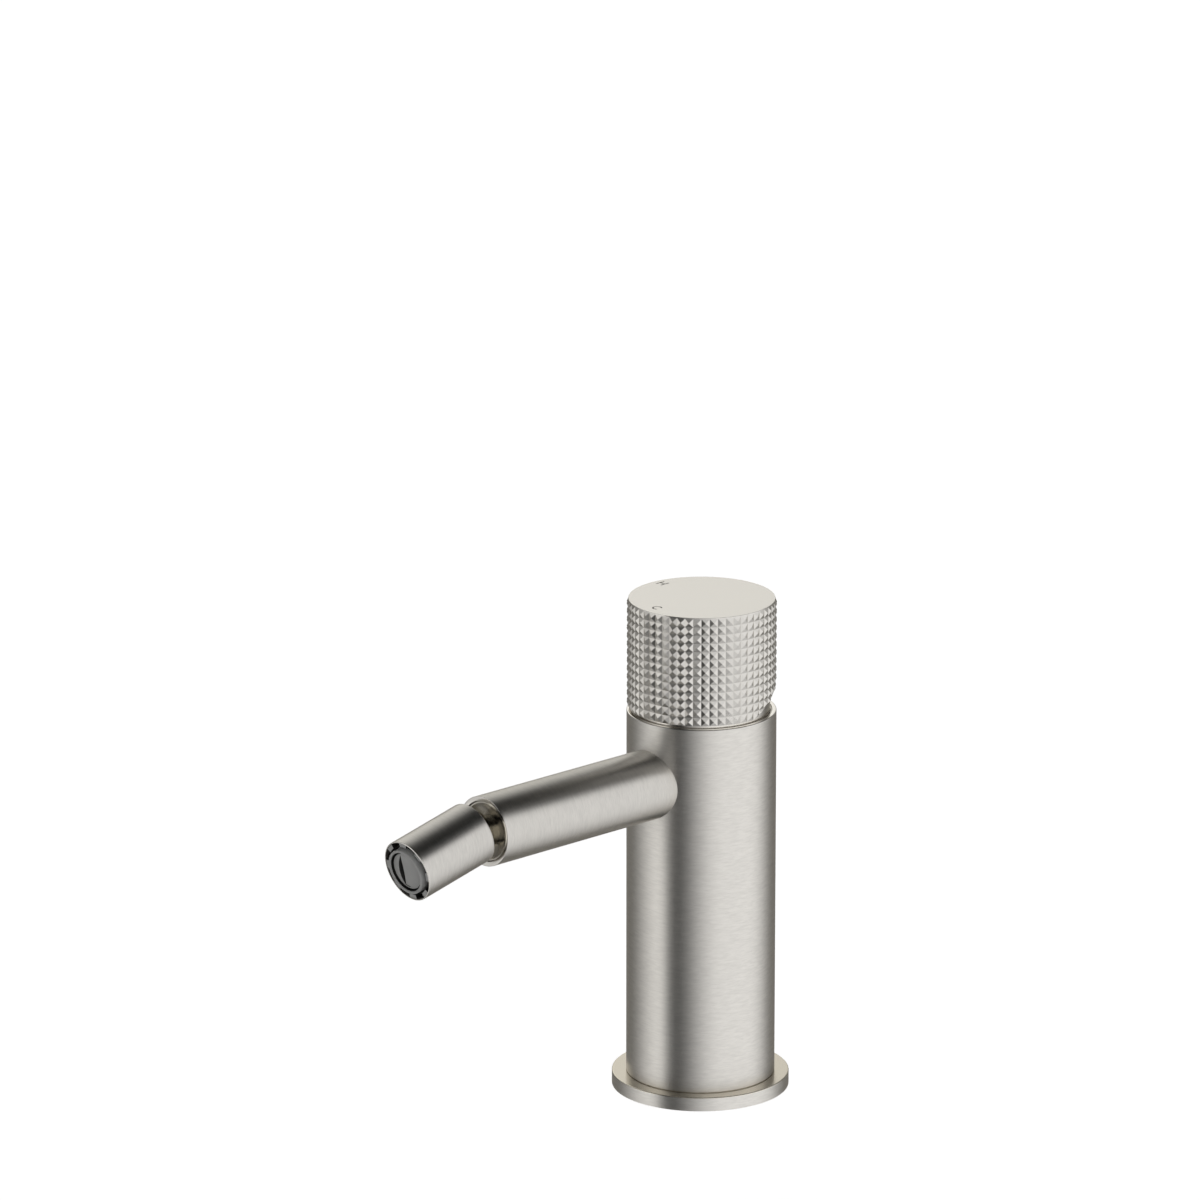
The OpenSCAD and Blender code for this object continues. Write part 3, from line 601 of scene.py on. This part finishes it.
def make_body():
    """The tube, with a fine seam above the flange and a ledge in the gap round the neck."""
    seam_depth, seam_z = 0.45, FLANGE_T + 0.22
    ledge_r, ledge_t, ledge_z = NECK_R + 0.12, 0.8, RIM_Z - 0.45
    hole_low, hole_high, hole_length, hole_y = SPOUT_Z - 9, SPOUT_Z + 9, 30, -20
    foot_ring, mid_ring, rim_ring = FLANGE_T + 2, 45, RIM_Z - 2
    rim_round, bore_round, seam_round = 0.3, 0.12, 0.06
    rim_low, least_rise = RIM_Z - 0.4, 0.5
    tube = turn_on_lathe("body_tube", [
        (BODY_BORE_R, FLANGE_T), (BODY_R - seam_depth, FLANGE_T), (BODY_R - seam_depth, seam_z),
        (BODY_R, seam_z), (BODY_R, foot_ring), (BODY_R, mid_ring), (BODY_R, hole_low), (BODY_R, hole_high),
        (BODY_R, rim_ring), (BODY_R, RIM_Z),
        (BODY_BORE_R, RIM_Z), (BODY_BORE_R, ledge_z), (ledge_r, ledge_z), (ledge_r, ledge_z - ledge_t),
        (BODY_BORE_R, ledge_z - ledge_t), (BODY_BORE_R, hole_high), (BODY_BORE_R, hole_low),
    ])
    round_rings(tube, [(BODY_R, RIM_Z)], rim_round, 3)
    round_rings(tube, [(BODY_BORE_R, RIM_Z)], bore_round, 2)
    round_rings(tube, [(BODY_R, seam_z)], seam_round, 2)
    cut(tube, round_bar(NIPPLE_HOLE_R, hole_length, (0, hole_y, SPOUT_Z), QUARTER_TURN, TUBE_SIDES))
    dress(tube, body_brush)
    finish_faces(
        tube, rim_satin,
        lambda face: face.normal.z > least_rise and face.calc_center_median().z > rim_low * MM,
    )
    hand_over(tube, "body", "body_shell")


def relief_block():
    """What is taken off under the knob's back, so that it can tilt."""
    side, depth = 80, 40
    put_tools_down()
    bpy.ops.mesh.primitive_cube_add(size=1)
    block = bpy.context.object
    block.scale = (side * MM, side * MM, depth * MM)
    block.location = (0, side / 2 * MM, -depth / 2 * MM)
    settle()
    block.rotation_euler = (radians(RELIEF_ANGLE), 0, 0)
    block.location = (0, 0, PIVOT_Z * MM)
    settle()
    return block


def make_neck():
    """The round-topped neck that the knob tilts over; it shows in the gap and under the relief."""
    steps, edge_round = 16, 0.2
    outside, inside = [], []
    for i in range(1, steps + 1):
        z = NECK_RISE * i / steps
        outside.append((sqrt(NECK_R * NECK_R - z * z), PIVOT_Z + z))
        inside.append((sqrt(NECK_BORE_R * NECK_BORE_R - z * z), PIVOT_Z + z))
    neck = turn_on_lathe("ball_neck", [
        (SPINDLE_HOLE_R, NECK_WEB_Z), (NECK_BORE_R, NECK_WEB_Z), (NECK_BORE_R, NECK_FOOT_Z),
        (NECK_R, NECK_FOOT_Z), (NECK_R, RIM_Z), (NECK_R, PIVOT_Z), *outside, *reversed(inside),
        (NECK_BORE_R, PIVOT_Z), (NECK_BORE_R, NECK_WEB_TOP_Z), (SPINDLE_HOLE_R, NECK_WEB_TOP_Z),
    ])
    round_rings(neck, [(NECK_R, NECK_FOOT_Z)], edge_round, 2)
    round_rings(neck, [outside[-1]], edge_round, 2)
    # The neck gets the lightened nickel, painted light
    hand_over(neck, "stem", "knob_neck", neck_brush_painted_light)


def make_grip():
    """The knurl: a sleeve of square cells, each raised into a pyramid."""
    row = (KNURL_TOP_Z - KNURL_Z) / KNURL_ROWS
    outside = [(KNURL_VALLEY_R, KNURL_Z + i * row) for i in range(KNURL_ROWS + 1)]
    grip = turn_on_lathe("knurled_grip", [
        (GRIP_SKIRT_R, KNURL_Z), *outside, (GRIP_BORE_R, KNURL_TOP_Z), (GRIP_BORE_R, GRIP_STEP_Z),
        (GRIP_SKIRT_R, GRIP_STEP_Z),
    ], sides=KNURL_COLUMNS)
    hold(grip)
    grip.rotation_euler = (0, 0, radians(KNURL_PHASE))
    settle()
    flat_r = KNURL_VALLEY_R * cos(pi / KNURL_COLUMNS)
    skin_r = (KNURL_VALLEY_R - 0.1) * MM
    select_parts(grip, "FACE", lambda face: all(ring_radius(v.co) > skin_r for v in face.verts))
    bpy.ops.mesh.poke(offset=(KNURL_TIP_R - flat_r) * MM)
    bpy.ops.object.mode_set(mode="OBJECT")
    cut(grip, relief_block())
    hand_over(grip, "knob", "knurled_sleeve", knurl_satin, smooth=5)


def letter_bar(length, width, place):
    """One straight stroke of a mark, as a cutting tool."""
    put_tools_down()
    bpy.ops.mesh.primitive_cube_add(size=1, location=(place[0] * MM, place[1] * MM, KNOB_TOP_Z * MM))
    bar = bpy.context.object
    bar.scale = (length * MM, width * MM, 2 * MARK_DEPTH * MM)
    settle()
    bar.data.materials.append(mark_etch)
    return bar


def cut_hot_mark(cap):
    """Two upright strokes and a short one between them."""
    height, width, overlap = 3.3, 2.4, 0.02
    x, y = HOT_MARK_AT
    for side in (-1, 1):
        cut(cap, letter_bar(STROKE, height, (x + side * (width - STROKE) / 2, y)))
    cut(cap, letter_bar(width - 2 * STROKE + overlap, STROKE, (x, y)))


def cut_cold_mark(cap):
    """An open ring: a short stroke spun round most of a turn."""
    radius, half_opening, steps = 1.5, 44, 40
    x, y = COLD_MARK_AT
    put_tools_down()
    bpy.ops.mesh.primitive_plane_add(size=1, rotation=QUARTER_TURN)
    arc = bpy.context.object
    arc.scale = (STROKE * MM, 2 * MARK_DEPTH * MM, 1)
    arc.location = ((radius - STROKE / 2) * MM, 0, 0)
    settle()
    bpy.ops.object.mode_set(mode="EDIT")
    bpy.ops.mesh.select_all(action="SELECT")
    bpy.ops.mesh.spin(steps=steps, angle=radians(360 - 2 * half_opening), center=(0, 0, 0), axis=(0, 0, 1))
    weld()
    bpy.ops.mesh.normals_make_consistent(inside=False)
    bpy.ops.object.mode_set(mode="OBJECT")
    middle = sum((v.co for v in arc.data.vertices), Vector()) / len(arc.data.vertices)
    arc.rotation_euler = (0, 0, pi - atan2(middle.y, middle.x))
    arc.location = (x * MM, y * MM, KNOB_TOP_Z * MM)
    settle()
    arc.data.materials.append(mark_etch)
    cut(cap, arc)


def make_cap():
    """The disc on top of the knob, with the two engraved marks."""
    inner_ring, edge_round = KNURL_VALLEY_R - 1, 0.1
    cap = turn_on_lathe("knob_top_disc", [
        (CAP_PLUG_R, CAP_SEAT_Z), (CAP_PLUG_R, KNURL_TOP_Z), (KNURL_VALLEY_R, KNURL_TOP_Z),
        (KNURL_VALLEY_R, KNOB_TOP_Z), (inner_ring, KNOB_TOP_Z),
    ], solid=True)
    round_rings(cap, [(KNURL_VALLEY_R, KNOB_TOP_Z)], edge_round, 3)
    dress(cap, cap_satin)
    cut_cold_mark(cap)
    cut_hot_mark(cap)
    hand_over(cap, "knob", "knob_cap")


# Spout and ball joint


def lay_spout(piece):
    """Lays a piece along the spout's axis."""
    lay_along(piece, 0, (0, 0, SPOUT_Z))


def lay_nozzle(piece):
    """Lays a piece along the nozzle's axis, which starts at the ball."""
    lay_along(piece, NOZZLE_TILT, (0, -BALL_Y, SPOUT_Z))


def make_spout():
    """The straight tube, coped to the body."""
    first_ring, second_ring, last_ring, cope_length = 40, 60, SPOUT_REACH - 1, 60
    bore_end, end_round, bore_round = SPOUT_REACH - END_CONE, 0.15, 0.05
    most_outward = -0.6
    pipe = turn_on_lathe("spout_pipe", [
        (SPOUT_BORE_R, 0), (SPOUT_R, 0), (SPOUT_R, first_ring), (SPOUT_R, second_ring), (SPOUT_R, last_ring),
        (SPOUT_R, SPOUT_REACH), (SPOUT_BORE_R, bore_end), (SPOUT_BORE_R, first_ring),
    ])
    round_rings(pipe, [(SPOUT_R, SPOUT_REACH)], end_round, 4)
    round_rings(pipe, [(SPOUT_BORE_R, bore_end)], bore_round, 2)
    lay_spout(pipe)
    cut(pipe, round_bar(COPE_R, cope_length, (0, 0, SPOUT_Z)))
    brush_along_y(pipe)
    dress(pipe, spout_brush)
    finish_faces(pipe, end_satin, lambda face: face.normal.y < most_outward)
    hand_over(pipe, "body", "spout_tube")


def make_end_ring():
    """The bright ring in the spout's end, with its dished face."""
    plug, front, back, groove, groove_back = 8.925, 85.85, 70.1, 8.74, 84.6
    hole, stud, lip_front, lip_back = 4.56, 5.96, 84.0, 82.0
    rim, sag, steps, edge_round = 8.36, 0.22, 8, 0.13
    dish_edge, least_rise = rim - 0.1, 0.3
    dish = []
    for i in range(1, steps):
        share = i / steps
        height = front + (lip_front - front) * share - sag * sin(pi * share)
        dish.append((rim + (hole - rim) * share, height))
    ring = turn_on_lathe("spout_end_ring", [
        (stud, back), (plug, back), (plug, groove_back), (groove, groove_back), (groove, front), (rim, front),
        *dish, (hole, lip_front), (hole, lip_back), (stud, lip_back),
    ])
    round_rings(ring, [(rim, front), (groove, front)], edge_round, 3)
    dress(ring, joint_polish)
    # The dish faces get the darker nickel: painted shade
    finish_faces(
        ring, dish_painted_shade,
        lambda face: face.normal.z > least_rise and ring_radius(face.calc_center_median()) < dish_edge * MM,
    )
    lay_spout(ring)
    hand_over(ring, "body", "spout_insert")


def make_ball():
    """The ball on its stud, with a groove for the seal."""
    neck, stud, bore, steps, sides = 4.5, 5.9, 3.0, 32, 128
    stud_back, stud_front, groove_r, groove_mid, groove_half = 73.9, 81.9, 4.45, 77.9, 0.75
    groove_back, groove_front = groove_mid - groove_half, groove_mid + groove_half
    low = asin(neck / BALL_R)
    high = pi - asin(bore / BALL_R)
    arc = []
    for i in range(steps + 1):
        angle = low + (high - low) * i / steps
        arc.append((BALL_R * sin(angle), BALL_Y - BALL_R * cos(angle)))
    ball = turn_on_lathe("swivel_ball", [
        (bore, stud_back), (stud, stud_back), (stud, groove_back), (groove_r, groove_back),
        (groove_r, groove_front), (stud, groove_front), (stud, stud_front), (neck, stud_front), *arc,
    ], sides=sides)
    lay_spout(ball)
    hand_over(ball, "ball", "ball_stud", joint_polish)


def make_nozzle():
    """The short tube on the ball, with its bright rim round the mouth."""
    steps, socket_top = 6, 2
    back_ring, mid_ring, front_ring = NOZZLE_BACK + 1, 10, NOZZLE_FRONT - 1
    rim_out, rim_round, mouth_round = NOZZLE_FRONT - RIM_SLOPE, 0.12, 0.05
    back_round, socket_round, least_rise = 0.5, 0.1, 0.2
    socket = []
    for i in range(steps + 1):
        z = NOZZLE_BACK * i / steps
        socket.append((sqrt(SOCKET_R * SOCKET_R - z * z), z))
    rear_r = socket[-1][0]
    tube = turn_on_lathe("nozzle_tube", [
        (rear_r, NOZZLE_BACK), (NOZZLE_R, NOZZLE_BACK), (NOZZLE_R, back_ring), (NOZZLE_R, mid_ring),
        (NOZZLE_R, front_ring), (NOZZLE_R, rim_out), (MOUTH_R, NOZZLE_FRONT), (MOUTH_R, MOUTH_FLOOR),
        (NOZZLE_BORE_R, MOUTH_FLOOR), (NOZZLE_BORE_R, socket_top), (SOCKET_R, socket_top), *socket[:-1],
    ])
    round_rings(tube, [(NOZZLE_R, rim_out)], rim_round, 4)
    round_rings(tube, [(MOUTH_R, NOZZLE_FRONT)], mouth_round, 2)
    round_rings(tube, [(NOZZLE_R, NOZZLE_BACK)], back_round, 5)
    round_rings(tube, [(rear_r, NOZZLE_BACK)], socket_round, 2)
    dress(tube, nozzle_brush)
    finish_faces(tube, rim_satin, lambda face: face.normal.z > least_rise)
    lay_nozzle(tube)
    brush_along_y(tube)
    hand_over(tube, "nozzle", "nozzle_sleeve")


# Aerator


def make_aerator_collar():
    """The grey ring in the outlet, with eight blocks that a key fits."""
    outer, mouth, back, floor, top = 8.65, 8.9, 15.1, 20.6, 23.2
    wall_out, wall_in, wall_top, ledge_in = 7.6, 7.25, 22.2, 6.2
    blocks, half_block, sides = 8, 9.4, 152
    gap_in, gap_top, edge_round = 7.2, top - 0.7, 0.08
    collar = turn_on_lathe("aerator_collar", [
        (ledge_in, back), (outer, back), (outer, MOUTH_FLOOR), (mouth, MOUTH_FLOOR), (mouth, floor),
        (wall_out, floor), (wall_out, wall_top), (wall_in, wall_top), (wall_in, AERATOR_LEDGE),
        (ledge_in, AERATOR_LEDGE),
    ], sides=sides)

    def under_block(face):
        middle = face.calc_center_median()
        pitch = 360 / blocks
        turn = degrees(atan2(middle.y, middle.x)) % pitch
        off = min(turn, pitch - turn)
        on_floor = face.normal.z > 0.9 and abs(middle.z - floor * MM) < 0.01 * MM
        return on_floor and off < half_block

    def between_blocks(face):
        middle = face.calc_center_median()
        return ring_radius(middle) > gap_in * MM and middle.z < gap_top * MM

    select_parts(collar, "FACE", under_block)
    bpy.ops.mesh.extrude_region_move(TRANSFORM_OT_translate={"value": (0, 0, (top - floor) * MM)})
    weld()
    bpy.ops.object.mode_set(mode="OBJECT")
    soften_edges(collar, edge_round)
    dress(collar, grey_moulded)
    # Painted shade: the faces between the blocks get the near-black plastic
    finish_faces(collar, shade_painted_plastic, between_blocks)
    lay_nozzle(collar)
    hand_over(collar, "nozzle", "aerator_ring")


def lens_tool(length, width, place, turn, bottom, top):
    """A lens, pointed at both ends: what two round bars have in common."""
    radius = (length * length + width * width) / (4 * width)
    reach = radius - width / 2
    middle = (bottom + top) / 2
    lens = round_bar(radius, top - bottom, (reach, 0, middle))
    cut(lens, round_bar(radius, 2 * (top - bottom), (-reach, 0, middle)), "INTERSECT")
    hold(lens)
    lens.rotation_euler = (0, 0, radians(turn))
    lens.location = (place[0] * MM, place[1] * MM, 0)
    settle()
    # The walls that the lens leaves in the cut get the dark grey: painted shade inside the slit and the
    # crease
    dress(lens, slit_painted_shade)
    return lens


def make_aerator_middle():
    """The middle of the outlet: a rounded lip, a groove, and a low dome with one slit and a fine crease."""
    foot_top, foot_r, face_r = 20.8, 7.2, 6.9
    front, lip_r, lip_steps = 24.38, 0.42, 10
    groove_r, groove_z, groove_half, groove_reach, groove_top = 5.82, 22.9, 0.16, 0.25, 23.9
    dome_r, dome_edge, dome_rise, dome_steps, hub_r, sides = 5.52, 23.4, 0.75, 12, 0.25, 144
    slit_bottom, crease_bottom, tool_top = 22.0, 23.2, 24.6
    crown = []
    for i in range(lip_steps + 1):
        angle = pi * i / lip_steps
        crown.append((face_r - lip_r + lip_r * cos(angle), front - lip_r + lip_r * sin(angle)))
    dome = []
    for i in range(dome_steps + 1):
        share = 1 - i / dome_steps
        dome.append((hub_r + (dome_r - hub_r) * share, dome_edge + dome_rise * (1 - share * share)))
    middle = turn_on_lathe("aerator_middle", [
        (foot_r, AERATOR_LEDGE), (foot_r, foot_top), (face_r, foot_top), *crown,
        (groove_r + groove_half, groove_z), (groove_r - groove_half, groove_z), *dome,
    ], sides=sides, solid=True)

    def in_groove(face):
        place = face.calc_center_median()
        return abs(ring_radius(place) - groove_r * MM) < groove_reach * MM and place.z < groove_top * MM

    dress(middle, grey_moulded)
    # Painted shade: the groove between the lip and the dome gets the near-black plastic
    finish_faces(middle, shade_painted_plastic, in_groove)
    slit = {"length": 9.8, "width": 2.2, "place": (-1.5, 0), "turn": 0}
    crease = {"length": 2.4, "width": 0.34, "place": (-0.5, -4.72), "turn": 79}
    cut(middle, lens_tool(**slit, bottom=slit_bottom, top=tool_top))
    cut(middle, lens_tool(**crease, bottom=crease_bottom, top=tool_top))
    lay_nozzle(middle)
    hand_over(middle, "nozzle", "aerator_face")


finish_cad_nodes()
make_flange()
make_body()
make_neck()
make_grip()
make_cap()
make_spout()
make_end_ring()
make_ball()
make_nozzle()
make_aerator_collar()
make_aerator_middle()
put_tools_down()


# Studio

CAMERA_AZIMUTH = radians(47.07)
CAMERA_ELEVATION = radians(16.55)
CAMERA_SIDE = Vector((sin(CAMERA_AZIMUTH), -cos(CAMERA_AZIMUTH), 0))
CAMERA_RIGHT = Vector((cos(CAMERA_AZIMUTH), sin(CAMERA_AZIMUTH), 0))
UP = Vector((0, 0, 1))

# Each soft box: azimuth from the camera's side, then its left, right, lower and upper edge as (reach, fade),
# all in degrees, then its strength and its colour
SOFT_BOXES = {
    "right": (56.2, (63.6, 37.7), (56.0, 27.0), (-65.9, 38.5), (38.3, 6.1), 0.91, (1.0, 1.0, 1.0)),
    "left": (-79.2, (20.5, 44.0), (22.2, 5.9), (-58.1, 5.3), (36.7, 6.1), 0.98, (1.0, 0.995, 0.98)),
    "back": (190.3, (15.8, 33.1), (28.7, 15.2), (11.1, 4.5), (61.4, 29.9), 1.04, (1.0, 0.997, 0.965)),
    "ground": (159.4, (27.1, 45.0), (61.5, 42.0), (-79.6, 19.2), (22.7, 3.7), 0.30, (1.0, 0.965, 0.89)),
    "overhead": (0.0, (181.0, 0.5), (181.0, 0.5), (80.0, 10.0), (95.0, 2.0), 0.09, (1.0, 1.0, 0.98)),
}
ROOM_GLOW = 0.004
WHITE = (1, 1, 1, 1)
FLOOR_COLOUR = (0.9, 0.9, 0.9, 1)
FLOOR_GLOW = 0.80
FLOOR_SIZE = 8
FLOOR_DROP = 0.05


def set_camera():
    """A straight camera, far off, with a long lens."""
    distance, aside, aim_height, sensor, lens = 2.5, -0.02976, 0.14916, 36, 256.77
    bpy.ops.object.camera_add()
    camera = bpy.context.object
    camera.name = "camera"
    camera.data.sensor_width = sensor
    camera.data.lens = lens
    back = CAMERA_SIDE * cos(CAMERA_ELEVATION) + UP * sin(CAMERA_ELEVATION)
    camera.location = CAMERA_RIGHT * aside + UP * aim_height + back * distance
    camera.rotation_euler = (radians(90) - CAMERA_ELEVATION, 0, CAMERA_AZIMUTH)
    bpy.context.scene.camera = camera


def soft_box(sky, azimuth, left, right, low, high, strength):
    """Light of one soft box."""
    turn = radians(azimuth)
    ahead = CAMERA_SIDE * cos(turn) + CAMERA_RIGHT * sin(turn)
    aside = CAMERA_RIGHT * cos(turn) - CAMERA_SIDE * sin(turn)

    def along(axis):
        return sky.node("ShaderNodeVectorMath", {"operation": "DOT_PRODUCT"}, {0: sky, 1: axis}, out="Value")

    across = sky.maths("ARCTAN2", along(aside), along(ahead)) * degrees(1)
    height = sky.maths("ARCSINE", along(UP)) * degrees(1)
    light = across.fade(-left[0] - left[1], -left[0] + left[1])
    light = light * (1 - across.fade(right[0] - right[1], right[0] + right[1]))
    light = light * height.fade(low[0] - low[1], low[0] + low[1])
    light = light * (1 - height.fade(high[0] - high[1], high[0] + high[1]))
    return light * strength


def set_light():
    """A white background, and soft boxes that only the mixer sees."""
    world = bpy.data.worlds.new("studio")
    bpy.context.scene.world = world
    world.use_nodes = True
    world.node_tree.nodes.clear()
    wire = Wire(world.node_tree)
    sky = wire.node("ShaderNodeTexCoord", out="Generated")
    boxes = [(soft_box(sky, *row[:-1]), row[-1]) for row in SOFT_BOXES.values()]
    tint = [sum((light * colour[i] for light, colour in boxes), ROOM_GLOW) for i in range(3)]
    colour = wire.node("ShaderNodeCombineColor", None, {0: tint[0], 1: tint[1], 2: tint[2]})
    studio = wire.node("ShaderNodeBackground", None, {"Color": colour, "Strength": 1.0})
    white = wire.node("ShaderNodeBackground", None, {"Color": WHITE, "Strength": 1.0})
    seen = wire.node("ShaderNodeLightPath", out="Is Camera Ray")
    mixed = wire.node("ShaderNodeMixShader", None, {0: seen, 1: studio, 2: white})
    wire.node("ShaderNodeOutputWorld", None, {"Surface": mixed})


def set_floor():
    """A white floor that only takes the mixer's soft shadow."""
    put_tools_down()
    bpy.ops.mesh.primitive_plane_add(size=FLOOR_SIZE, location=(0, 0, -FLOOR_DROP * MM))
    floor = bpy.context.object
    floor.name = floor.data.name = "floor"
    settle()
    finish, wire = new_finish("floor_white")
    matt = wire.node("ShaderNodeBsdfDiffuse", None, {"Color": FLOOR_COLOUR})
    seen = wire.node("ShaderNodeLightPath", out="Is Camera Ray")
    glow = wire.node("ShaderNodeEmission", None, {"Color": WHITE, "Strength": seen * FLOOR_GLOW})
    both = wire.node("ShaderNodeAddShader", None, {0: matt, 1: glow})
    wire.node("ShaderNodeOutputMaterial", None, {"Surface": both})
    floor.data.materials.append(finish)
    floor.visible_glossy = False


set_camera()
set_light()
set_floor()
bpy.context.scene.view_settings.view_transform = "Standard"
